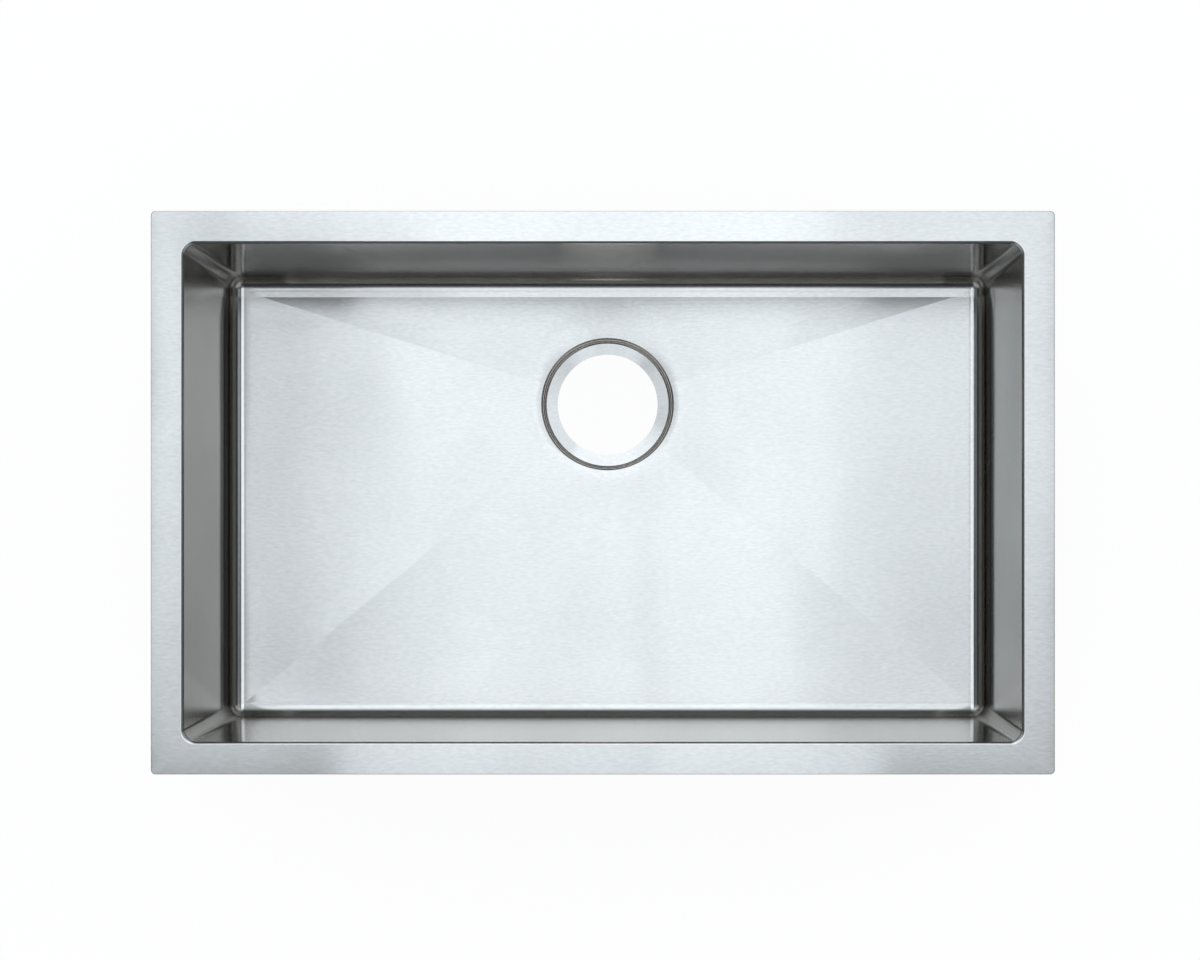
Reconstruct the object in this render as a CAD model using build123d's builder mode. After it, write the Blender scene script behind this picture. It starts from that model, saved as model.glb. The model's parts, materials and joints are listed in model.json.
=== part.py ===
# Undermount kitchen sink with one folded stainless bowl, swivelling mounting clips and sound pads.
# The frame has +X to the right, +Y to the back and +Z up, with the origin under the middle of the rim,
# level with the underside of the drain hole's edge.
from build123d import *

import os
from math import atan2, cos, radians, sin, tan

os.makedirs("parts", exist_ok=True)

# Rim and bowl
rim_length = 762.0
rim_width = 475.0
rim_corner = 4.0
flange_width = 27.5
sheet = 1.5
fold_radius = 3.2
fold_drop = 3.5
outer_edge_break = 0.3
bowl_depth = 223.0
wall_lean = 2.4
bend_radius = 12.0

# Floor and drain
floor_fall = 5.0
floor_margin = 1.6
drain_setback = 125.0
drain_hole = 92.0
seat_width = 9.5
seat_slope = 7.5
seat_bend = 3.0
recess_wall = 0.5
lip_bend = 3.0
dish_slope = 7.25
dish_radius = 100.0

# Sound pads
pad_thickness = 3.5
pad_corner = 12.0
pad_edge_break = 1.0
side_floor_pad = (150.0, 118.0)
front_floor_pad = (300.0, 90.0)
front_pad_gap = 18.0
long_wall_pad = (430.0, 112.0)
short_wall_pad = (236.0, 112.0)

# Mounting clips and their fasteners
stud_diameter = 6.0
stud_collar_diameter = 10.0
stud_collar_height = 1.0
stud_tail = 2.0
stud_tip_break = 0.6
clip_end_gap = 115.0
clip_sheet = 2.0
clip_width = 16.0
clip_reach = 34.0
clip_fold = 2.5
clip_lip_depth = 6.0
clip_lip_start = 10.0
clip_lip_corner = 3.0
clip_hole_clearance = 0.1
clip_play = 0.15
clip_heel_clearance = 0.6
screw_slot_width = 6.0
screw_slot_length = 14.0
screw_slot_end_gap = 4.0
washer_diameter = 12.0
washer_thickness = 1.2
washer_clearance = 0.2
nut_across_flats = 10.0
nut_hex_height = 4.5
nut_collar_diameter = 9.6
nut_collar_height = 2.5
nut_edge_break = 0.5
nut_thread_clearance = 0.05
ring_diameter = 8.0
ring_height = 2.0

# Heights, up from the underside of the drain hole's edge
lean = radians(wall_lean)
dish = radians(dish_slope)
seat_tilt = radians(seat_slope)
seat_z = sheet / cos(seat_tilt)
seat_bend_z = seat_z + seat_width * tan(seat_tilt) + seat_bend / cos(seat_tilt)
apex_z = seat_bend_z + recess_wall + lip_bend
floor_z = apex_z + floor_fall
rim_z = floor_z + bowl_depth
rim_under_z = rim_z - sheet
fold_z = rim_z - fold_drop
past_rim = 5.0

# Plan of the bowl and its floor
bowl_length = rim_length - 2 * flange_width
bowl_width = rim_width - 2 * flange_width
drain_y = bowl_width / 2 - drain_setback
drain_axis = Axis((0, drain_y, 0), (0, 0, 1))
bend_tangent = bend_radius * tan((radians(90) - lean) / 2)
floor_inset = bowl_depth * tan(lean) + bend_tangent + floor_margin
floor_half_length = bowl_length / 2 - floor_inset
floor_half_width = bowl_width / 2 - floor_inset
seat_radius = drain_hole / 2 + seat_width
recess_radius = seat_radius + seat_bend
lip_radius = recess_radius + lip_bend


def wall_half(size, z, grow):
    """Half of the bowl's length or width at height z, on a skin lying grow outside the wetted face."""
    return size / 2 - (rim_z - z) * tan(lean) + grow / cos(lean)


def bowl_form(grow):
    """The bowl filled solid, with every face moved out from the wetted face by grow."""
    skin_z = floor_z - grow
    apex_share = 0.05
    with BuildPart() as form:
        # Leaning walls, with round upright corners, bottom bends and ball corners
        for z in (skin_z, rim_z + past_rim):
            with BuildSketch(Plane.XY.offset(z)):
                Rectangle(2 * wall_half(bowl_length, z, grow), 2 * wall_half(bowl_width, z, grow))
        loft(ruled=True)
        level_edges = form.edges().filter_by(Plane.XY)
        uprights = form.edges() - level_edges
        bends = level_edges.group_by(Axis.Z)[0]
        fillet(uprights + bends, bend_radius + grow)
        # Four flat facets that fall from the bends to one point over the drain
        with BuildSketch(Plane.XY.offset(skin_z)):
            Rectangle(2 * floor_half_length, 2 * floor_half_width)
        with BuildSketch(Plane.XY.offset(skin_z - floor_fall * (1 - apex_share))):
            with Locations((0, drain_y * (1 - apex_share))):
                Rectangle(2 * floor_half_length * apex_share, 2 * floor_half_width * apex_share)
        loft(ruled=True)
        # Dished lip, short wall and slightly conical seat of the drain recess
        lip_turn = 90 - dish_slope
        seat_turn = 90 - seat_slope
        with BuildSketch(Plane.XZ.offset(-drain_y)):
            with BuildLine():
                seat_arc = CenterArc((seat_radius, seat_bend_z), seat_bend + grow, -seat_turn, seat_turn)
                seat_drop = (seat_arc @ 0).X * tan(seat_tilt)
                seat = Line((0, (seat_arc @ 0).Y - seat_drop), seat_arc @ 0)
                lip_arc = CenterArc((lip_radius, apex_z - lip_bend), lip_bend - grow, 180, -lip_turn)
                Line(seat_arc @ 1, lip_arc @ 0)
                dish_rise = (dish_radius - (lip_arc @ 1).X) * tan(dish)
                dish_edge = (dish_radius, (lip_arc @ 1).Y + dish_rise)
                Polyline(lip_arc @ 1, dish_edge, (0, dish_edge[1]), seat @ 0)
            make_face()
        revolve(axis=drain_axis)
    return form.part


cavity = bowl_form(0)
skin = bowl_form(sheet)

with BuildPart() as bowl:
    add(skin)
    split(bisect_by=Plane.XY.offset(fold_z), keep=Keep.BOTTOM)
    add(cavity, mode=Mode.SUBTRACT)
    with Locations((0, drain_y, apex_z)):
        Hole(drain_hole / 2)

# The flange turns down into the top of the walls with a tight fold
with BuildPart() as rim_frame:
    add(skin)
    split(bisect_by=Plane.XY.offset(fold_z), keep=Keep.TOP)
    split(bisect_by=Plane.XY.offset(rim_z), keep=Keep.BOTTOM)
    with BuildSketch(Plane.XY.offset(rim_under_z)):
        RectangleRounded(rim_length, rim_width, rim_corner)
    extrude(amount=sheet)
    add(cavity, mode=Mode.SUBTRACT)
    rim_top = rim_frame.faces().filter_by(Axis.Z).sort_by(Axis.Z)[-1]
    fillet(rim_top.inner_wires()[0].edges(), fold_radius)
    rim_top = rim_frame.faces().filter_by(Axis.Z).sort_by(Axis.Z)[-1]
    chamfer(rim_top.outer_wire().edges(), outer_edge_break)
    flange_under = rim_frame.faces().filter_by(Axis.Z).sort_by(Axis.Z)[-2]
    fillet(flange_under.inner_wires()[0].edges(), fold_radius - sheet)

for piece, node in ((bowl, "bowl"), (rim_frame, "rim_frame")):
    piece.part.label = node
    export_step(piece.part, f"parts/{node}.step")

# Sound pads lie flat on the outside of the walls and floor facets, each on its own plane
wall_middle_z = (floor_z + rim_z) / 2
wall_reach_x = wall_half(bowl_length, wall_middle_z, sheet)
wall_reach_y = wall_half(bowl_width, wall_middle_z, sheet)
side_fall = atan2(floor_fall, floor_half_length)
front_fall = atan2(floor_fall, floor_half_width + drain_y)
side_pad_x = (floor_half_length + lip_radius) / 2
side_pad_tip = (side_pad_x - side_floor_pad[0] / 2) / floor_half_length
side_pad_y = drain_y * (1 - side_pad_tip)
side_pad_z = floor_z - sheet - (floor_half_length - side_pad_x) * tan(side_fall)
front_pad_y = front_pad_gap + front_floor_pad[1] / 2 - floor_half_width
front_pad_z = floor_z - sheet - (front_pad_y + floor_half_width) * tan(front_fall)

pads = {
    "floor_pad_left": (
        Plane((-side_pad_x, side_pad_y, side_pad_z), (0, 1, 0), (-sin(side_fall), 0, -cos(side_fall))),
        side_floor_pad[::-1],
    ),
    "floor_pad_right": (
        Plane((side_pad_x, side_pad_y, side_pad_z), (0, 1, 0), (sin(side_fall), 0, -cos(side_fall))),
        side_floor_pad[::-1],
    ),
    "floor_pad_front": (
        Plane((0, front_pad_y, front_pad_z), (1, 0, 0), (0, -sin(front_fall), -cos(front_fall))),
        front_floor_pad,
    ),
    "wall_pad_front": (
        Plane((0, -wall_reach_y, wall_middle_z), (1, 0, 0), (0, -cos(lean), -sin(lean))),
        long_wall_pad,
    ),
    "wall_pad_back": (
        Plane((0, wall_reach_y, wall_middle_z), (1, 0, 0), (0, cos(lean), -sin(lean))),
        long_wall_pad,
    ),
    "wall_pad_left": (
        Plane((-wall_reach_x, 0, wall_middle_z), (0, 1, 0), (-cos(lean), 0, -sin(lean))),
        short_wall_pad,
    ),
    "wall_pad_right": (
        Plane((wall_reach_x, 0, wall_middle_z), (0, 1, 0), (cos(lean), 0, -sin(lean))),
        short_wall_pad,
    ),
}

for node, (plane, (length, width)) in pads.items():
    with BuildPart() as pad:
        with BuildSketch(plane):
            RectangleRounded(length, width, pad_corner)
        extrude(amount=pad_thickness)
        outer_face = pad.faces().sort_by(Axis(plane.origin, plane.z_dir))[-1]
        chamfer(outer_face.edges(), pad_edge_break)
    pad.part.label = node
    export_step(pad.part, f"parts/{node}.step")

# Studs stand in the middle of the flange's underside, between the wall and the rim's edge
stud_inset = (flange_width - sheet) / 2
stud_row_x = rim_length / 2 - stud_inset
stud_row_y = rim_width / 2 - stud_inset
end_clip_x = rim_length / 2 - clip_end_gap
# Each place has its stud's x and y and the heading, in degrees, that points out from the rim
clip_places = {
    "clip_front_left": (-end_clip_x, -stud_row_y, -90),
    "clip_front_middle": (0, -stud_row_y, -90),
    "clip_front_right": (end_clip_x, -stud_row_y, -90),
    "clip_back_left": (-end_clip_x, stud_row_y, 90),
    "clip_back_middle": (0, stud_row_y, 90),
    "clip_back_right": (end_clip_x, stud_row_y, 90),
    "clip_left": (-stud_row_x, 0, 180),
    "clip_right": (stud_row_x, 0, 0),
}
stud_points = [(x, y) for x, y, heading in clip_places.values()]

# Heights under the flange, from the stud's collar down to its tip
clip_top_z = rim_under_z - stud_collar_height - clip_play
washer_top_z = clip_top_z - clip_sheet - clip_play
nut_top_z = washer_top_z - washer_thickness
nut_height = nut_hex_height + nut_collar_height
nut_bottom_z = nut_top_z - nut_height
stud_tip_z = nut_bottom_z - stud_tail
thread_bore = stud_diameter + 2 * nut_thread_clearance

with BuildPart() as clip_studs:
    with BuildSketch(Plane.XY.offset(rim_under_z)):
        with Locations(*stud_points):
            Circle(stud_collar_diameter / 2)
    extrude(amount=-stud_collar_height)
    with BuildSketch(Plane.XY.offset(rim_under_z)):
        with Locations(*stud_points):
            Circle(stud_diameter / 2)
    extrude(amount=stud_tip_z - rim_under_z)
    chamfer(clip_studs.edges().group_by(Axis.Z)[0], stud_tip_break)

with BuildPart() as clip_washers:
    with BuildSketch(Plane.XY.offset(washer_top_z)):
        with Locations(*stud_points):
            Circle(washer_diameter / 2)
            Circle(stud_diameter / 2 + washer_clearance, mode=Mode.SUBTRACT)
    extrude(amount=-washer_thickness)

with BuildPart() as clip_lock_nuts:
    with BuildSketch(Plane.XY.offset(nut_top_z)):
        with Locations(*stud_points):
            RegularPolygon(nut_across_flats / 2, 6, major_radius=False)
    extrude(amount=-nut_hex_height)
    with BuildSketch(Plane.XY.offset(nut_top_z)):
        with Locations(*stud_points):
            Circle(nut_collar_diameter / 2)
    extrude(amount=-nut_height)
    chamfer(clip_lock_nuts.edges().group_by(Axis.Z)[0], nut_edge_break)
    # The nylon ring's seat opens downwards
    with Locations(*[Location((x, y, nut_bottom_z), (180, 0, 0)) for x, y in stud_points]):
        CounterBoreHole(thread_bore / 2, ring_diameter / 2, ring_height)

with BuildPart() as lock_nut_rings:
    with BuildSketch(Plane.XY.offset(nut_bottom_z)):
        with Locations(*stud_points):
            Circle(ring_diameter / 2)
            Circle(thread_bore / 2, mode=Mode.SUBTRACT)
    extrude(amount=ring_height)

for piece, node in (
    (clip_studs, "clip_studs"),
    (clip_washers, "clip_washers"),
    (clip_lock_nuts, "clip_lock_nuts"),
    (lock_nut_rings, "lock_nut_rings"),
):
    piece.part.label = node
    export_step(piece.part, f"parts/{node}.step")

# One clip, with its pivot at the origin, its top face at z = 0 and its arm along +X.
# The heel's +Y corner stays square: it meets the wall once the arm points straight out.
stud_to_wall = flange_width - stud_inset - sheet / cos(lean)
clip_heel = stud_to_wall - clip_heel_clearance
slot_middle = clip_reach - screw_slot_end_gap - screw_slot_length / 2

with BuildPart() as clip_blank:
    with BuildSketch() as heel:
        with Locations((-clip_heel, 0)):
            Rectangle(clip_heel + clip_lip_start, clip_width, align=(Align.MIN, Align.CENTER))
        wall_corner = heel.vertices().group_by(Axis.X)[0].sort_by(Axis.Y)[0]
        fillet(wall_corner, clip_width / 2)
    extrude(amount=-clip_sheet)
    with BuildSketch(Plane.YZ.offset(clip_lip_start)) as channel:
        Rectangle(clip_width, clip_lip_depth, align=(Align.CENTER, Align.MAX))
        fillet(channel.vertices().group_by(Axis.Y)[-1], clip_fold)
        with Locations((0, -clip_sheet)):
            Rectangle(
                clip_width - 2 * clip_sheet, clip_lip_depth, align=(Align.CENTER, Align.MAX), mode=Mode.SUBTRACT
            )
    extrude(amount=clip_reach - clip_lip_start)
    lip_ends = clip_blank.edges().filter_by(Axis.Y).group_by(Axis.Z)[0]
    fillet(lip_ends, clip_lip_corner)
    with Locations((0, 0, 0)):
        Hole(stud_diameter / 2 + clip_hole_clearance)
    with BuildSketch():
        with Locations((slot_middle, 0)):
            SlotOverall(screw_slot_length, screw_slot_width)
    extrude(amount=-clip_sheet, mode=Mode.SUBTRACT)

for node, (x, y, heading) in clip_places.items():
    with BuildPart() as clip:
        with Locations(Location((x, y, clip_top_z), (0, 0, heading - 90))):
            add(clip_blank.part)
    clip.part.label = node
    export_step(clip.part, f"parts/{node}.step")
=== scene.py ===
import json
import math
from types import SimpleNamespace

import bmesh
import bpy
from mathutils import Matrix, Vector


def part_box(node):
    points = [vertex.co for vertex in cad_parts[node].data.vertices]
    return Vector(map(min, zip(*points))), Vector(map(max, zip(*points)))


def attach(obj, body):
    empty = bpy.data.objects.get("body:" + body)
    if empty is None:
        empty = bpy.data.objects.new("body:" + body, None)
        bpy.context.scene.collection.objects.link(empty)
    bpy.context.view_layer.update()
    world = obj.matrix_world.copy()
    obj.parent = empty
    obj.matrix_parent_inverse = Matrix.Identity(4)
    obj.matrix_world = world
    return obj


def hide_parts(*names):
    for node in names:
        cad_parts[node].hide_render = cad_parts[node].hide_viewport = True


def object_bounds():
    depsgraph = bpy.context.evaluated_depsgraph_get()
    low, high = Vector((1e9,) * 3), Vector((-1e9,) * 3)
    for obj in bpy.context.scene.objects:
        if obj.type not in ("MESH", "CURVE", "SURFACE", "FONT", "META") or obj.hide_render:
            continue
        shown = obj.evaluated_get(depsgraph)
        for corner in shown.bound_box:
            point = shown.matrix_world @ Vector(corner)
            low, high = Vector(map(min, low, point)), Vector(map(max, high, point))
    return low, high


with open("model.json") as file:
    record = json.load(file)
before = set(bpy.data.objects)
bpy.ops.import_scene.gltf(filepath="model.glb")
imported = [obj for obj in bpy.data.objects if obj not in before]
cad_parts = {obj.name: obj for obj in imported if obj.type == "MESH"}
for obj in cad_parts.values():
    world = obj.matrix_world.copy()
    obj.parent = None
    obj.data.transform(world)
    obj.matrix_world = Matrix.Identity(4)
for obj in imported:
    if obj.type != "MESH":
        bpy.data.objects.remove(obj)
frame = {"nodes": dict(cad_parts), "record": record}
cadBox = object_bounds()
nodeObjects = frame["nodes"]
mounts = {mount["name"]: mount for mount in frame["record"]["mounts"]}
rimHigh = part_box("rim_frame")[1]
bowlLow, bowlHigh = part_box("bowl")
print("frame loaded:", len(nodeObjects), "nodes")


# Small helpers for work in edit mode

close = 0.00001             # places nearer than this count as one
squareOn = 0.9999           # a normal with this much along a direction faces straight that way


def clearSelection():
    bpy.ops.object.select_all(action="DESELECT")


def choose(piece):
    clearSelection()
    piece.select_set(True)
    bpy.context.view_layer.objects.active = piece


def pick(kind, test):
    # selects vertices, edges or faces of the mesh being edited by a test on each
    bpy.ops.mesh.select_mode(type=kind)
    bpy.ops.mesh.select_all(action="DESELECT")
    mesh = bpy.context.edit_object.data
    work = bmesh.from_edit_mesh(mesh)
    items = {"VERT": work.verts, "EDGE": work.edges, "FACE": work.faces}[kind]
    for item in items:
        if test(item):
            item.select_set(True)
    work.select_flush_mode()
    bmesh.update_edit_mesh(mesh)


def middle(edge):
    return (edge.verts[0].co + edge.verts[1].co) / 2


def roundOff(offset, steps, affect="EDGES"):
    bpy.ops.mesh.bevel(
        offset_type="OFFSET", offset=offset, segments=steps, profile=0.5, affect=affect, clamp_overlap=False,
    )


def applyModifier(piece, kind, **settings):
    modifier = piece.modifiers.new(kind.lower(), kind)
    for name, value in settings.items():
        setattr(modifier, name, value)
    bpy.context.view_layer.objects.active = piece
    bpy.ops.object.modifier_apply(modifier=modifier.name)


def newCube(name, centre, size):
    clearSelection()
    bpy.ops.mesh.primitive_cube_add(size=1, location=centre, scale=size)
    piece = bpy.context.object
    piece.name = name
    bpy.ops.object.transform_apply(location=True, rotation=True, scale=True)
    return piece


def smoothShade(piece, angle):
    choose(piece)
    bpy.ops.object.shade_smooth_by_angle(angle=angle)


def weighNormals(piece):
    # large flat faces stay flat in the shading, and the bends take up the turn between them
    applyModifier(piece, "WEIGHTED_NORMAL", mode="FACE_AREA", weight=50, keep_sharp=True)


# Bowl: one folded and pressed sheet, built as its wetted side and then given the sheet's thickness

bowlShape = {
    "sheet": 0.0015,
    "lean": math.radians(2.4),
    "bendRadius": 0.012,
    "bendSteps": 12,
    "floorMargin": 0.0016,          # flat border between the bends and the facets
    "floorFall": 0.005,             # from that border down to the point over the drain
    "floorLeast": 0.05,             # square metres, which no other level face reaches
    "creaseCuts": 32,
    "creaseReach": 0.0003,          # how far off a crease a point on it may lie
    "creaseAngles": (math.radians(0.4), math.radians(5)),
    "borderReach": 0.0001,
    "seatWidth": 0.0095,
    "seatSlope": math.radians(7.5),
    "seatBend": 0.003,
    "recessWall": 0.0005,
    "lipBend": 0.003,
    "lipSteps": 8,
    "dishSlope": math.radians(7.25),
    "dishRadius": 0.100,
    "roundSteps": 128,
    "smoothAngle": math.radians(40),
}


def bendOffset(radius):
    # from the sharp corner of floor and wall, or rim and wall, to where a bend of this radius begins
    return radius * math.tan((math.pi / 2 - bowlShape["lean"]) / 2)


def planBowl(shape):
    # heights and half sizes of the wetted side, from the CAD bowl's box and the drain hole
    plan = SimpleNamespace()
    plan.drainX, plan.drainY = mounts["drain_hole"]["pos_m"][:2]
    plan.holeRadius = mounts["drain_hole"]["dims"]["r_mm"] / 1000
    slope = shape["seatSlope"]
    plan.seatZ = bowlLow.z + shape["sheet"] / math.cos(slope)
    plan.bendZ = plan.seatZ + shape["seatWidth"] * math.tan(slope) + shape["seatBend"] / math.cos(slope)
    plan.apexZ = plan.bendZ + shape["recessWall"] + shape["lipBend"]
    plan.floorZ = plan.apexZ + shape["floorFall"]
    plan.topZ = bowlHigh.z
    plan.topX = bowlHigh.x - shape["sheet"] / math.cos(shape["lean"])
    plan.topY = bowlHigh.y - shape["sheet"] / math.cos(shape["lean"])
    plan.drawnIn = (plan.topZ - plan.floorZ) * math.tan(shape["lean"])
    plan.bend = bendOffset(shape["bendRadius"])
    plan.cornerX = plan.topX - plan.drawnIn - plan.bend - shape["floorMargin"]
    plan.cornerY = plan.topY - plan.drawnIn - plan.bend - shape["floorMargin"]
    return plan


def drainRings(shape, plan):
    # radius and height of each ring, from the dish's outer edge down to the hole
    seatRadius = plan.holeRadius + shape["seatWidth"]
    lipRadius = seatRadius + shape["seatBend"] + shape["lipBend"]
    rings = []
    for step in range(shape["lipSteps"] + 1):
        turn = math.pi / 2 + shape["dishSlope"]
        turn += (math.pi - turn) * step / shape["lipSteps"]
        radius = lipRadius + shape["lipBend"] * math.cos(turn)
        rings.append((radius, plan.apexZ - shape["lipBend"] * (1 - math.sin(turn))))
    for step in range(shape["lipSteps"] + 1):
        turn = (shape["seatSlope"] - math.pi / 2) * step / shape["lipSteps"]
        radius = seatRadius + shape["seatBend"] * math.cos(turn)
        rings.append((radius, plan.bendZ + shape["seatBend"] * math.sin(turn)))
    rise = (shape["dishRadius"] - rings[0][0]) * math.tan(shape["dishSlope"])
    rings.insert(0, (shape["dishRadius"], rings[0][1] + rise))
    seatFall = (rings[-1][0] - plan.holeRadius) * math.tan(shape["seatSlope"])
    rings.append((plan.holeRadius, rings[-1][1] - seatFall))
    return rings


def makeDrainPlug(rings, drainX, drainY, steps):
    # a solid the shape of the dished recess, to be joined to the bowl's hollow
    clearSelection()
    bpy.ops.mesh.primitive_circle_add(
        vertices=steps, radius=rings[0][0], fill_type="NGON", location=(drainX, drainY, rings[0][1])
    )
    plug = bpy.context.object
    bpy.ops.object.transform_apply(location=True, rotation=True, scale=True)
    bpy.ops.object.mode_set(mode="EDIT")
    bpy.ops.mesh.select_all(action="SELECT")
    for (radiusAbove, zAbove), (radius, z) in zip(rings, rings[1:]):
        bpy.ops.mesh.extrude_region_move(TRANSFORM_OT_translate={"value": (0, 0, z - zAbove)})
        share = radius / radiusAbove
        bpy.ops.transform.resize(value=(share, share, 1), center_override=(drainX, drainY, z))
    bpy.ops.mesh.select_all(action="SELECT")
    bpy.ops.mesh.normals_make_consistent(inside=False)
    bpy.ops.object.mode_set(mode="OBJECT")
    return plug


def pressHollow(shape, plan):
    # leaning walls: a box whose floor is drawn in
    hollow = newCube(
        "bowlShell", (0, 0, (plan.floorZ + plan.topZ) / 2),
        (2 * plan.topX, 2 * plan.topY, plan.topZ - plan.floorZ),
    )
    bpy.ops.object.mode_set(mode="EDIT")
    pick("FACE", lambda face: face.normal.z < -squareOn)
    bpy.ops.transform.resize(
        value=(1 - plan.drawnIn / plan.topX, 1 - plan.drawnIn / plan.topY, 1),
        center_override=(0, 0, plan.floorZ),
    )
    # round upright corners, bottom bends and ball corners in one go
    pick("EDGE", lambda edge: middle(edge).z < plan.topZ - close)
    roundOff(plan.bend, shape["bendSteps"])
    # four facets that fall to one point over the drain
    pick("FACE", lambda face: face.normal.z < -squareOn and face.calc_area() > shape["floorLeast"])
    bpy.ops.mesh.inset(thickness=shape["floorMargin"])
    bpy.ops.mesh.poke()
    pick("VERT", lambda vert: vert.co.xy.length < close and vert.co.z < plan.floorZ + close)
    bpy.ops.transform.translate(value=(plan.drainX, plan.drainY, -shape["floorFall"]))
    # points along each crease, so that the shading can part there
    pick("EDGE", lambda edge: any(vert.co.z < plan.floorZ - close for vert in edge.verts))
    bpy.ops.mesh.subdivide(number_cuts=shape["creaseCuts"])
    bpy.ops.object.mode_set(mode="OBJECT")
    return hollow


def sharpenCreases(bowl, shape, plan):
    # the creases between the facets and the line round them stay crisp

    def onCrease(vert):
        # the creases run from the drain to the four corners of the floor
        away = Vector((vert.co.x - plan.drainX, vert.co.y - plan.drainY))
        cornerX = math.copysign(plan.cornerX, away.x) - plan.drainX
        cornerY = math.copysign(plan.cornerY, away.y) - plan.drainY
        return abs(away.cross(Vector((cornerX, cornerY)).normalized())) < shape["creaseReach"]

    def onBorder(vert):
        # the line where the flat border round the floor ends
        past = max(abs(vert.co.x) - plan.cornerX, abs(vert.co.y) - plan.cornerY)
        return vert.co.z > plan.floorZ - shape["borderReach"] and abs(past) < shape["borderReach"]

    def isCrease(edge):
        if len(edge.link_faces) != 2:
            return False
        least, most = shape["creaseAngles"]
        onLine = all(onCrease(vert) for vert in edge.verts) or all(onBorder(vert) for vert in edge.verts)
        return onLine and least < edge.calc_face_angle() < most

    choose(bowl)
    bpy.ops.object.mode_set(mode="EDIT")
    pick("EDGE", isCrease)
    bpy.ops.mesh.mark_sharp()
    bpy.ops.object.mode_set(mode="OBJECT")


def makeBowl(shape):
    plan = planBowl(shape)
    bowl = pressHollow(shape, plan)
    plug = makeDrainPlug(drainRings(shape, plan), plan.drainX, plan.drainY, shape["roundSteps"])
    applyModifier(bowl, "BOOLEAN", operation="UNION", solver="EXACT", object=plug)
    bpy.data.objects.remove(plug, do_unlink=True)

    drainMiddle = Vector((plan.drainX, plan.drainY, plan.seatZ))

    def overOpening(face):
        centre = face.calc_center_median()
        return centre.z > plan.topZ - close or (centre - drainMiddle).length < plan.holeRadius / 2

    # open the top and the drain, then thicken outwards
    choose(bowl)
    bpy.ops.object.mode_set(mode="EDIT")
    pick("FACE", overOpening)
    bpy.ops.mesh.delete(type="FACE")
    bpy.ops.object.mode_set(mode="OBJECT")
    # a slot for the coated outside and one for the steel inside, filled once the finishes are mixed
    bowl.data.materials.append(None)
    bowl.data.materials.append(None)
    applyModifier(
        bowl, "SOLIDIFY", thickness=shape["sheet"], offset=1, use_even_offset=True, use_quality_normals=True,
        material_offset=1, material_offset_rim=1,
    )
    smoothShade(bowl, shape["smoothAngle"])
    sharpenCreases(bowl, shape, plan)
    weighNormals(bowl)
    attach(bowl, "sink")
    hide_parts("bowl")
    print("bowl pressed:", len(bowl.data.polygons), "faces")
    return bowl


bowl = makeBowl(bowlShape)


# Rim: a flat flange that turns down into the walls with a tight fold

rimShape = {
    "sheet": 0.0015,
    "flange": 0.0275,
    "outerCorner": 0.004,
    "foldRadius": 0.0032,
    "foldSteps": 8,
    "outerBreak": 0.0007,
    "breakSteps": 2,
    "squareSlack": 0.2,             # radians that a cut edge may be off a right angle
    "outerShare": 0.98,             # an outer point drawn in to this share still misses the opening
    "smoothAngle": math.radians(50),
}


def roundedSheet(name, halfX, halfY, z, corner, steps):
    clearSelection()
    bpy.ops.mesh.primitive_plane_add(size=2, location=(0, 0, z))
    piece = bpy.context.object
    piece.name = name
    piece.scale = (halfX, halfY, 1)
    bpy.ops.object.transform_apply(location=True, rotation=True, scale=True)
    bpy.ops.object.mode_set(mode="EDIT")
    bpy.ops.mesh.select_all(action="SELECT")
    roundOff(corner, steps, affect="VERTICES")
    bpy.ops.object.mode_set(mode="OBJECT")
    return piece


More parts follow.
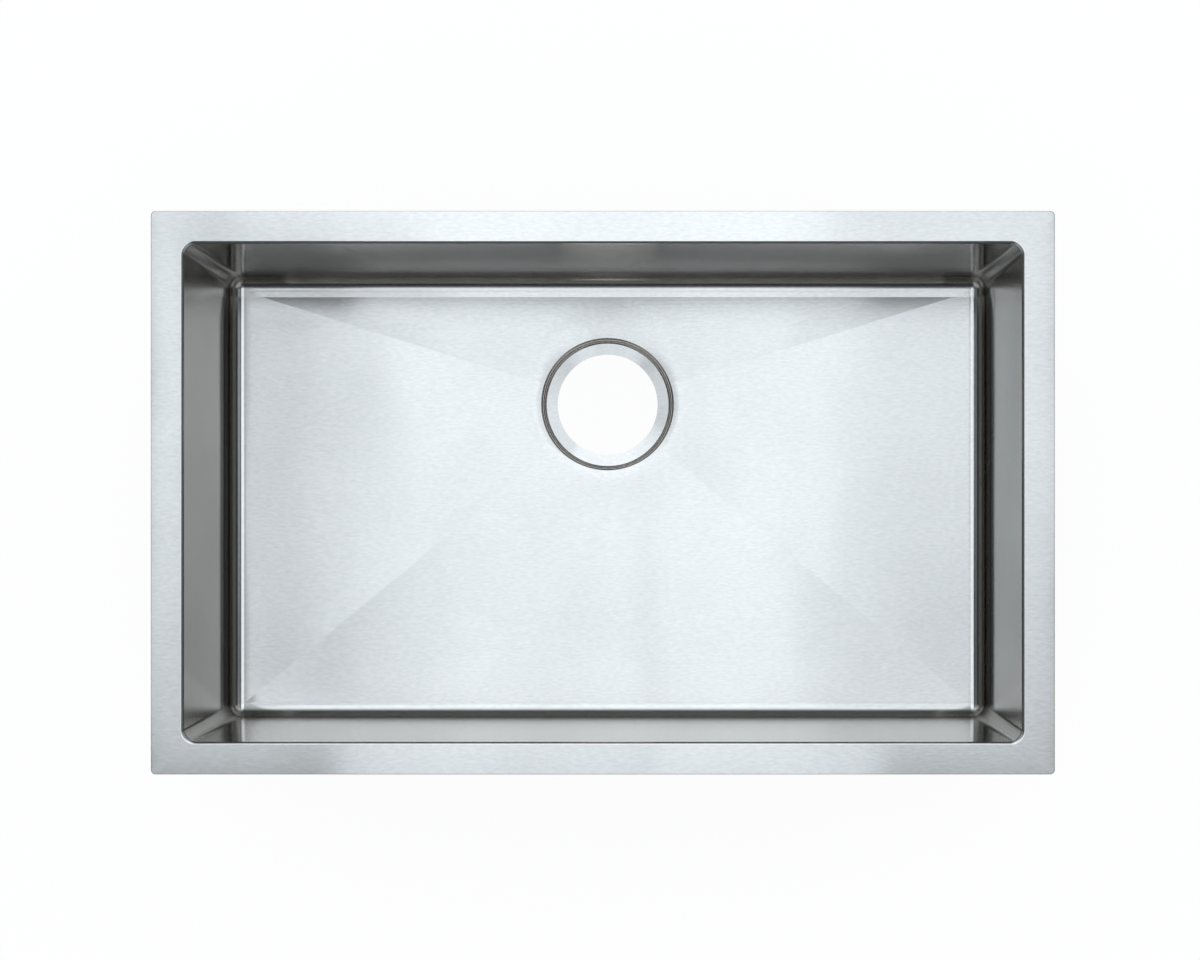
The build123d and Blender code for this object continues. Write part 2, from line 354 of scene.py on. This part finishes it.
def makeRim(shape):
    topZ = rimHigh.z
    foldZ = bowlHigh.z
    steps = bowlShape["bendSteps"]
    openX = rimHigh.x - shape["flange"]
    openY = rimHigh.y - shape["flange"]
    rim = roundedSheet("rimPlate", rimHigh.x, rimHigh.y, topZ, shape["outerCorner"], steps)
    opening = roundedSheet("rimOpening", openX, openY, topZ, bendOffset(bowlShape["bendRadius"]), steps)
    choose(rim)
    opening.select_set(True)
    bpy.ops.object.join()
    bpy.ops.object.mode_set(mode="EDIT")
    bpy.ops.mesh.select_all(action="SELECT")
    bpy.ops.mesh.delete(type="ONLY_FACE")
    bpy.ops.mesh.select_all(action="SELECT")
    bpy.ops.mesh.bridge_edge_loops()

    def inOpening(point):
        return abs(point.x) < openX + close and abs(point.y) < openY + close

    def onCutEdge(edge):
        if len(edge.link_faces) != 2 or abs(edge.verts[0].co.z - edge.verts[1].co.z) > close:
            return False
        square = abs(edge.calc_face_angle() - math.pi / 2) < shape["squareSlack"]
        return square and all(not inOpening(vert.co * shape["outerShare"]) for vert in edge.verts)

    # the inner edge is drawn down along the leaning wall, and the fold is rounded
    pick("EDGE", lambda edge: all(inOpening(vert.co) for vert in edge.verts))
    bpy.ops.mesh.extrude_region_move(TRANSFORM_OT_translate={"value": (0, 0, foldZ - topZ)})
    drawnIn = (topZ - foldZ) * math.tan(bowlShape["lean"])
    bpy.ops.transform.resize(
        value=(1 - drawnIn / openX, 1 - drawnIn / openY, 1), center_override=(0, 0, foldZ)
    )
    pick("EDGE", lambda edge: all(vert.co.z > topZ - close and inOpening(vert.co) for vert in edge.verts))
    roundOff(bendOffset(shape["foldRadius"]), shape["foldSteps"])
    bpy.ops.mesh.select_all(action="SELECT")
    bpy.ops.mesh.normals_make_consistent(inside=False)
    work = bmesh.from_edit_mesh(rim.data)
    if max(work.faces, key=lambda face: face.calc_area()).normal.z < 0:
        bpy.ops.mesh.flip_normals()
    bpy.ops.object.mode_set(mode="OBJECT")
    applyModifier(rim, "SOLIDIFY", thickness=shape["sheet"], offset=-1, use_even_offset=True)
    # the cut outer edge is broken all round
    bpy.ops.object.mode_set(mode="EDIT")
    pick("EDGE", onCutEdge)
    roundOff(shape["outerBreak"], shape["breakSteps"])
    bpy.ops.object.mode_set(mode="OBJECT")
    smoothShade(rim, shape["smoothAngle"])
    weighNormals(rim)
    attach(rim, "sink")
    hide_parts("rim_frame")
    print("rim folded:", len(rim.data.polygons), "faces")
    return rim


rim = makeRim(rimShape)


# Sound pads: moulded rubber, with softened edges and a groove set in from the edge

padShape = {
    "thickness": 0.0035,
    "corner": 0.012,
    "cornerSteps": 8,
    "edgeRound": 0.0012,
    "edgeSteps": 3,
    "grooveInset": 0.009,
    "grooveSide": 0.0008,
    "grooveWidth": 0.0016,
    "grooveDepth": 0.0006,
    "smoothAngle": math.radians(35),
}
padNodes = [name for name in nodeObjects if "_pad_" in name]


def padSeat(node):
    # middle, directions and size of the face that a pad sticks on by, read from its CAD node
    mesh = nodeObjects[node].data
    inward = max(mesh.polygons, key=lambda face: face.area).normal.copy()
    stuck = [face for face in mesh.polygons if face.normal.dot(inward) > squareOn]
    points = [mesh.vertices[index].co for face in stuck for index in face.vertices]
    outward = -inward
    onEndWall = abs(outward.x) > abs(outward.y) and abs(outward.x) > abs(outward.z)
    guess = Vector((0, 1, 0)) if onEndWall else Vector((1, 0, 0))
    across = outward.cross(guess).normalized()
    along = across.cross(outward)
    reach = []
    for direction in (along, across, outward):
        places = [point.dot(direction) for point in points]
        reach.append((min(places), max(places)))
    centre = along * sum(reach[0]) / 2 + across * sum(reach[1]) / 2 + outward * reach[2][0]
    return centre, (along, across, outward), reach[0][1] - reach[0][0], reach[1][1] - reach[1][0]


def makePad(node, shape):
    centre, directions, length, width = padSeat(node)
    thick = shape["thickness"]
    name = "".join(word.title() for word in node.split("_"))
    pad = newCube(name[0].lower() + name[1:], (0, 0, thick / 2), (length, width, thick))
    bpy.ops.object.mode_set(mode="EDIT")
    pick("EDGE", lambda edge: abs(edge.verts[0].co.z - edge.verts[1].co.z) > thick / 2)
    roundOff(shape["corner"], shape["cornerSteps"])
    pick("EDGE", lambda edge: all(vert.co.z > thick - close for vert in edge.verts))
    roundOff(shape["edgeRound"], shape["edgeSteps"])
    # groove: step in, down, across and up again
    pick("FACE", lambda face: face.normal.z > squareOn and face.calc_center_median().z > thick - close)
    bpy.ops.mesh.inset(thickness=shape["grooveInset"] - shape["edgeRound"])
    bpy.ops.mesh.inset(thickness=shape["grooveSide"])
    bpy.ops.transform.translate(value=(0, 0, -shape["grooveDepth"]))
    bpy.ops.mesh.inset(thickness=shape["grooveWidth"])
    bpy.ops.mesh.inset(thickness=shape["grooveSide"])
    bpy.ops.transform.translate(value=(0, 0, shape["grooveDepth"]))
    bpy.ops.object.mode_set(mode="OBJECT")
    turn = Matrix(directions).transposed().to_4x4()
    pad.matrix_world = Matrix.Translation(centre) @ turn
    bpy.ops.object.transform_apply(location=True, rotation=True, scale=True)
    smoothShade(pad, shape["smoothAngle"])
    weighNormals(pad)
    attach(pad, "sink")
    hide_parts(node)
    return pad


pads = [makePad(node, padShape) for node in padNodes]
print("pads moulded:", len(pads))


# Small helpers for materials; in a Mix node, inputs 4 and 5 are its two vectors, and 6 and 7 its two colours

def fillSockets(tree, node, inputs):
    for socket, value in inputs.items():
        if isinstance(value, bpy.types.NodeSocket):
            tree.links.new(value, node.inputs[socket])
        else:
            node.inputs[socket].default_value = value


def addNode(tree, kind, inputs=None, **settings):
    made = tree.nodes.new(kind)
    for name, value in settings.items():
        setattr(made, name, value)
    fillSockets(tree, made, inputs or {})
    return made


def objectPlace(tree):
    return addNode(tree, "ShaderNodeTexCoord").outputs["Object"]


def parts(tree, vector):
    return addNode(tree, "ShaderNodeSeparateXYZ", {"Vector": vector}).outputs


def reckon(tree, operation, *values):
    return addNode(tree, "ShaderNodeMath", dict(enumerate(values)), operation=operation).outputs[0]


def remap(tree, value, before, after):
    # carries a value from one range to another and holds it at the ends
    return addNode(tree, "ShaderNodeMapRange", {
        "Value": value, "From Min": before[0], "From Max": before[1], "To Min": after[0], "To Max": after[1],
    }).outputs[0]


def noise(tree, place, scale, detail, roughness=0.5):
    return addNode(tree, "ShaderNodeTexNoise", {
        "Vector": place, "Scale": scale, "Detail": detail, "Roughness": roughness,
    }).outputs[0]


def toneRamp(tree, value, colours, stops):
    ramp = addNode(tree, "ShaderNodeValToRGB", {"Fac": value})
    for element, colour, stop in zip(ramp.color_ramp.elements, colours, stops):
        element.position = stop
        element.color = colour
    return ramp.outputs[0]


def bumpFrom(tree, height, depth, strength=1.0):
    return addNode(tree, "ShaderNodeBump", {"Strength": strength, "Distance": depth, "Height": height})


def newFinish(name):
    finish = bpy.data.materials.new(name)
    finish.use_nodes = True
    return finish, finish.node_tree, finish.node_tree.nodes["Principled BSDF"]


def putFinish(piece, *finishes):
    slots = piece.data.materials
    while len(slots) < len(finishes):
        slots.append(None)
    for order in range(len(slots)):
        slots[order] = finishes[min(order, len(finishes) - 1)]


# Brushed stainless steel

steelLook = {
    "colour": (0.625, 0.60, 0.56),
    "roughness": (0.13, 0.16),
    "anisotropy": 1.0,
    "endWallFacing": 0.5,           # a normal with more than this along X is an end wall's
    # painted shade: the end walls' specular tint is darkened to this share
    "endWallTint": 0.5,
    "grainAlong": 800.0,
    "grainAcross": 2600.0,
    "grain": {"scale": 1.0, "detail": 3.0, "roughness": 0.6},
    "grainRange": (0.3, 0.7),
    "grainDepth": 0.000002,
    "lines": {"scale": 0.22, "detail": 2.0, "roughness": 0.6},
    "lineTone": (0.89, 1.11),
    "clouds": {"scale": 11.0, "detail": 3.0, "roughness": 0.55},
    "cloudTone": (0.93, 1.07),
    "backLift": (0.153, 0.183),     # where along Y the floor's lift begins and ends
    "backLiftCurve": 5.0,
    "backLiftFade": (0.02, 0.08),   # heights between which the lift dies out
    "waves": {"scale": 7.0, "detail": 0.0},
    "waveDepth": 0.0008,
}


def sheetHeight(tree, place, look):
    # the floor lifts softly towards the back, and the whole sheet is a little wavy, as pressed sheet is
    where = parts(tree, place)
    liftStart, liftEnd = look["backLift"]
    reach = remap(tree, where["Y"], look["backLift"], (0.0, liftEnd - liftStart))
    square = reckon(tree, "MULTIPLY", reach, reach)
    lowDown = remap(tree, where["Z"], look["backLiftFade"], (look["backLiftCurve"] / 2, 0.0))
    waves = reckon(tree, "MULTIPLY", noise(tree, place, **look["waves"]), look["waveDepth"])
    return reckon(tree, "MULTIPLY_ADD", square, lowDown, waves)


def makeBrushedSteel(look):
    finish, tree, shader = newFinish("brushedSteel")
    shader.distribution = "GGX"
    place = objectPlace(tree)
    normal = addNode(tree, "ShaderNodeNewGeometry").outputs["Normal"]
    sideways = reckon(tree, "ABSOLUTE", parts(tree, normal)["X"])
    endWall = reckon(tree, "GREATER_THAN", sideways, look["endWallFacing"])
    # the sheet was brushed along X before folding, so the brushing runs up the end walls
    along, across = look["grainAlong"], look["grainAcross"]
    alongX = addNode(tree, "ShaderNodeMapping", {"Vector": place, "Scale": (along, across, across)})
    upWall = addNode(tree, "ShaderNodeMapping", {"Vector": place, "Scale": (across, across, along)})
    grainPlace = addNode(tree, "ShaderNodeMix", {
        "Factor": endWall, 4: alongX.outputs[0], 5: upWall.outputs[0],
    }, data_type="VECTOR").outputs[1]
    acrossGrain = addNode(tree, "ShaderNodeVectorMath", {0: normal, 1: (1, 0, 0)}, operation="CROSS_PRODUCT")
    grain = noise(tree, grainPlace, **look["grain"])
    bump = bumpFrom(tree, grain, look["grainDepth"])
    sheetBump = bumpFrom(tree, sheetHeight(tree, place, look), 1.0)
    tree.links.new(sheetBump.outputs[0], bump.inputs["Normal"])
    # painted shade: the end walls get a darker specular tint, so they reflect less at a grazing angle than
    # the long ones
    tint = look["endWallTint"]
    paintedEndWallShade = addNode(tree, "ShaderNodeMix", {
        "Factor": endWall, 6: (1, 1, 1, 1), 7: (tint, tint, tint, 1),
    }, data_type="RGBA").outputs[2]
    # short brushed lines and faint clouds in the tone
    lineTone = remap(tree, noise(tree, grainPlace, **look["lines"]), (0.0, 1.0), look["lineTone"])
    cloudTone = remap(tree, noise(tree, place, **look["clouds"]), (0.0, 1.0), look["cloudTone"])
    tone = reckon(tree, "MULTIPLY", lineTone, cloudTone)
    colour = addNode(tree, "ShaderNodeVectorMath", {0: look["colour"], "Scale": tone}, operation="SCALE")
    fillSockets(tree, shader, {
        "Base Color": colour.outputs[0],
        "Metallic": 1.0,
        "Roughness": remap(tree, grain, look["grainRange"], look["roughness"]),
        "Anisotropic": look["anisotropy"],
        # the specular tint carries the end walls' painted shade
        "Specular Tint": paintedEndWallShade,
        "Normal": bump.outputs[0],
        "Tangent": acrossGrain.outputs[0],
    })
    return finish


# Sprayed undercoat: fine grey granules

undercoatLook = {
    "dark": (0.20, 0.205, 0.21, 1),
    "pale": (0.34, 0.35, 0.355, 1),
    "toneStops": (0.45, 0.85),
    "granules": {"scale": 900.0, "detail": 2.0, "roughness": 0.55},
    "granuleDepth": 0.00025,
    "bumpStrength": 0.6,
    "clouds": {"scale": 14.0, "detail": 3.0},
    "cloudShare": 0.35,
    "roughness": 0.88,
}


def makeUndercoat(look):
    finish, tree, shader = newFinish("sprayedUndercoat")
    place = objectPlace(tree)
    granules = noise(tree, place, **look["granules"])
    clouds = noise(tree, place, **look["clouds"])
    mottle = reckon(tree, "MULTIPLY_ADD", clouds, look["cloudShare"], granules)
    fillSockets(tree, shader, {
        "Base Color": toneRamp(tree, mottle, (look["dark"], look["pale"]), look["toneStops"]),
        "Roughness": look["roughness"],
        "Normal": bumpFrom(tree, granules, look["granuleDepth"], look["bumpStrength"]).outputs[0],
    })
    return finish


# Moulded rubber with a little dust

rubberLook = {
    "colour": (0.022, 0.022, 0.024, 1),
    "dustColour": (0.075, 0.073, 0.07, 1),
    "dust": {"scale": 38.0, "detail": 6.0, "roughness": 0.65},
    "dustStops": (0.48, 0.86),
    "dustRange": (0.35, 0.75),
    "roughness": (0.54, 0.78),
    "pebbleScale": 1300.0,
    "pebbleDepth": 0.00006,
    "bumpStrength": 0.5,
}


def makePadRubber(look):
    finish, tree, shader = newFinish("padRubber")
    place = objectPlace(tree)
    dust = noise(tree, place, **look["dust"])
    pebble = addNode(tree, "ShaderNodeTexVoronoi", {"Vector": place, "Scale": look["pebbleScale"]})
    bump = bumpFrom(tree, pebble.outputs["Distance"], look["pebbleDepth"], look["bumpStrength"])
    fillSockets(tree, shader, {
        "Base Color": toneRamp(tree, dust, (look["colour"], look["dustColour"]), look["dustStops"]),
        "Roughness": remap(tree, dust, look["dustRange"], look["roughness"]),
        "Normal": bump.outputs[0],
    })
    return finish


# Stamped and plated metal: faint cloudy gloss and fine tool marks

metalLook = {
    "cloudDetail": 5.0,
    "cloudRoughness": 0.6,
    "cloudRange": (0.3, 0.7),
    "shade": 0.86,                  # share of the colour left in the darkest clouds
    "markFineness": 9,              # how many times finer than the clouds the marks are
    "markDetail": 2.0,
    "markStrength": 0.4,
}
clipLook = {
    "colour": (0.60, 0.61, 0.62),
    "roughness": (0.29, 0.43),
    "cloudScale": 160.0,
    "markDepth": 0.00002,
}
zincLook = {
    "colour": (0.74, 0.76, 0.79),
    "roughness": (0.20, 0.32),
    "cloudScale": 260.0,
    "markDepth": 0.00001,
}


def makePlainMetal(name, look):
    finish, tree, shader = newFinish(name)
    place = objectPlace(tree)
    scale, cloudRange = look["cloudScale"], metalLook["cloudRange"]
    clouds = noise(tree, place, scale, metalLook["cloudDetail"], metalLook["cloudRoughness"])
    marks = noise(tree, place, scale * metalLook["markFineness"], metalLook["markDetail"])
    dull = tuple(part * metalLook["shade"] for part in look["colour"])
    fillSockets(tree, shader, {
        "Base Color": toneRamp(tree, clouds, ((*dull, 1), (*look["colour"], 1)), cloudRange),
        "Metallic": 1.0,
        "Roughness": remap(tree, clouds, cloudRange, look["roughness"]),
        "Normal": bumpFrom(tree, marks, look["markDepth"], metalLook["markStrength"]).outputs[0],
    })
    return finish


# Natural nylon: milky, with a slight haze

nylonLook = {
    "colour": (0.80, 0.81, 0.77, 1),
    "shade": (0.70, 0.71, 0.66, 1),
    "haze": {"scale": 420.0, "detail": 3.0},
    "hazeStops": (0.35, 0.65),
    "roughness": 0.42,
    "milkiness": 0.15,
    "milkDepth": (0.001, 0.001, 0.001),
}


def makeNylon(look):
    finish, tree, shader = newFinish("naturalNylon")
    haze = noise(tree, objectPlace(tree), **look["haze"])
    fillSockets(tree, shader, {
        "Base Color": toneRamp(tree, haze, (look["shade"], look["colour"]), look["hazeStops"]),
        "Roughness": look["roughness"],
        "Subsurface Weight": look["milkiness"],
        "Subsurface Radius": look["milkDepth"],
    })
    return finish


brushedSteel = makeBrushedSteel(steelLook)
sprayedUndercoat = makeUndercoat(undercoatLook)
padRubber = makePadRubber(rubberLook)
clipSteel = makePlainMetal("clipSteel", clipLook)
zincPlate = makePlainMetal("zincPlate", zincLook)
naturalNylon = makeNylon(nylonLook)
putFinish(bowl, sprayedUndercoat, brushedSteel)
putFinish(rim, brushedSteel)
for pad in pads:
    putFinish(pad, padRubber)
nodeFinishes = {
    "clip_studs": zincPlate,
    "clip_washers": zincPlate,
    "clip_lock_nuts": zincPlate,
    "lock_nut_rings": naturalNylon,
}
for node, piece in nodeObjects.items():
    if node in nodeFinishes:
        putFinish(piece, nodeFinishes[node])
    elif node.startswith("clip_"):
        putFinish(piece, clipSteel)
print("finishes mixed")


# Stage, light and camera

stage = {
    "floorSize": 60.0,
    "floorDrop": 0.0005,            # clear of the sink's underside
    "floorTone": (0.9, 0.9, 0.9, 1),
    "floorRoughness": 0.8,
    "floorWhite": 0.94,             # the rest shows the sink's shadow
    "ceilingGlint": 0.02,
    "horizonGlow": 0.2,
    "horizonRise": (0.30, 0.36),    # where the low band fades into the ceiling
    "cornerGlow": 0.5,
    "cornerSpread": (0.12, 0.3),    # of the direction's X times its Y
    "worldFill": 0.85,
    "fillTint": (0.97, 0.99, 1.0),
    "softboxHeight": 2.9,
    "softboxStep": 0.001,           # each softbox hangs this much lower than the one before
    "softboxTint": (0.90, 1.0, 1.11),
}
# low corner, high corner and brightness of each softbox over the sink; where two overlap, they add
softboxes = {
    "frontBank": ((-0.9, -0.5), (0.8, 0.15), 1.2),
    "frontEnd": ((-0.95, -0.5), (-0.61, 0.15), 0.1),
    "coreMiddle": ((-0.5, -0.53), (0.37, 0.15), 0.08),
    "coreLeft": ((-0.42, -0.53), (0.012, 0.15), 0.18),
    "coreRight": ((0.052, -0.53), (0.29, 0.15), 0.25),
    "nearCore": ((-0.5, -0.85), (0.42, -0.5), 1.2),
    "nearRight": ((0.42, -0.8), (0.8, -0.5), 0.26),
    "frontFar": ((-1.5, -1.6), (1.5, -0.8), 0.07),
    "middleBank": ((-0.36, 0.15), (0.8, 0.45), 1.54),
    "middleStep": ((-0.52, 0.15), (-0.36, 0.45), 0.95),
    "middleEnd": ((-0.76, 0.15), (-0.52, 0.45), 0.62),
    "middleLeft": ((-1.2, 0.15), (-0.76, 0.45), 1.48),
    "backBank": ((-0.9, 0.45), (0.8, 1.6), 1.28),
    "backCore": ((-0.68, 0.45), (0.36, 1.6), 0.4),
    "farBank": ((-0.9, 1.6), (0.8, 3.2), 1.44),
    "leftWing": ((-1.5, 0.45), (-0.9, 1.3), 0.12),
    "rightWing": ((0.8, -0.2), (1.3, 1.3), 0.14),
    "rightFill": ((1.3, -0.2), (3.2, 0.8), 0.52),
    "leftFill": ((-3.2, -0.2), (-1.5, 0.8), 0.26),
    "backFill": ((-3.2, 3.2), (3.2, 6.0), 0.41),
    "backLeftFill": ((-3.2, 1.6), (-0.9, 3.2), 0.22),
}


def makeFloor():
    clearSelection()
    bpy.ops.mesh.primitive_plane_add(
        size=stage["floorSize"], location=(0, 0, cadBox[0].z - stage["floorDrop"])
    )
    floor = bpy.context.object
    floor.name = "paleFloor"
    finish, tree, lit = newFinish("paleFloor")
    fillSockets(tree, lit, {"Base Color": stage["floorTone"], "Roughness": stage["floorRoughness"]})
    white = addNode(tree, "ShaderNodeEmission", {"Color": (1, 1, 1, 1), "Strength": 1.0})
    path = addNode(tree, "ShaderNodeLightPath").outputs
    seen = reckon(tree, "MAXIMUM", path["Is Camera Ray"], path["Is Glossy Ray"])
    seenThrough = reckon(tree, "MAXIMUM", seen, path["Is Transmission Ray"])
    share = reckon(tree, "MULTIPLY", seenThrough, stage["floorWhite"])
    mixed = addNode(tree, "ShaderNodeMixShader", {0: share, 1: lit.outputs[0], 2: white.outputs[0]})
    tree.links.new(mixed.outputs[0], tree.nodes["Material Output"].inputs["Surface"])
    putFinish(floor, finish)


def makeSoftbox(name, low, high, level, drop):
    size = (high[0] - low[0], high[1] - low[1])
    lamp = bpy.data.lights.new(name, "AREA")
    lamp.shape = "RECTANGLE"
    lamp.size, lamp.size_y = size
    lamp.color = stage["softboxTint"]
    lamp.energy = level * math.pi * size[0] * size[1]      # level is the brightness of the face
    box = bpy.data.objects.new(name, lamp)
    box.location = ((low[0] + high[0]) / 2, (low[1] + high[1]) / 2, stage["softboxHeight"] - drop)
    box.visible_camera = False
    bpy.context.scene.collection.objects.link(box)


def makeWorld():
    world = bpy.data.worlds.new("studio")
    world.use_nodes = True
    bpy.context.scene.world = world
    tree = world.node_tree
    path = addNode(tree, "ShaderNodeLightPath").outputs
    away = parts(tree, addNode(tree, "ShaderNodeTexCoord").outputs["Generated"])
    # round the softboxes the steel reflects a dark room with pale corners and a dim band low down
    slant = reckon(tree, "ABSOLUTE", reckon(tree, "MULTIPLY", away["X"], away["Y"]))
    corners = remap(tree, slant, stage["cornerSpread"], (0.0, stage["cornerGlow"]))
    horizon = remap(tree, away["Z"], stage["horizonRise"], (stage["horizonGlow"], stage["ceilingGlint"]))
    room = reckon(tree, "MAXIMUM", corners, horizon)
    # matt surfaces get an even fill, and the camera sees white
    filled = remap(tree, path["Is Diffuse Ray"], (0.0, 1.0), (room, stage["worldFill"]))
    level = remap(tree, path["Is Camera Ray"], (0.0, 1.0), (filled, 1.0))
    tint = addNode(tree, "ShaderNodeMix", {
        "Factor": path["Is Glossy Ray"], 6: (*stage["fillTint"], 1), 7: (*stage["softboxTint"], 1),
    }, data_type="RGBA").outputs[2]
    fillSockets(tree, tree.nodes["Background"], {"Color": tint, "Strength": level})


makeFloor()
for order, (name, (low, high, level)) in enumerate(softboxes.items()):
    makeSoftbox(name, low, high, level, order * stage["softboxStep"])
makeWorld()
print("studio lit")

cameraSet = {
    "place": (0.0482, -0.0438),
    "height": 2.556,                # over the rim
    "lens": 91.0,
    "sensor": 36.0,
    "shift": (-0.05005, 0.0539),
}
cameraData = bpy.data.cameras.new("overheadCamera")
cameraData.lens = cameraSet["lens"]
cameraData.sensor_width = cameraSet["sensor"]
cameraData.shift_x, cameraData.shift_y = cameraSet["shift"]
camera = bpy.data.objects.new("overheadCamera", cameraData)
camera.location = (*cameraSet["place"], rimHigh.z + cameraSet["height"])
bpy.context.scene.collection.objects.link(camera)
bpy.context.scene.camera = camera
bpy.context.scene.view_settings.view_transform = "Standard"
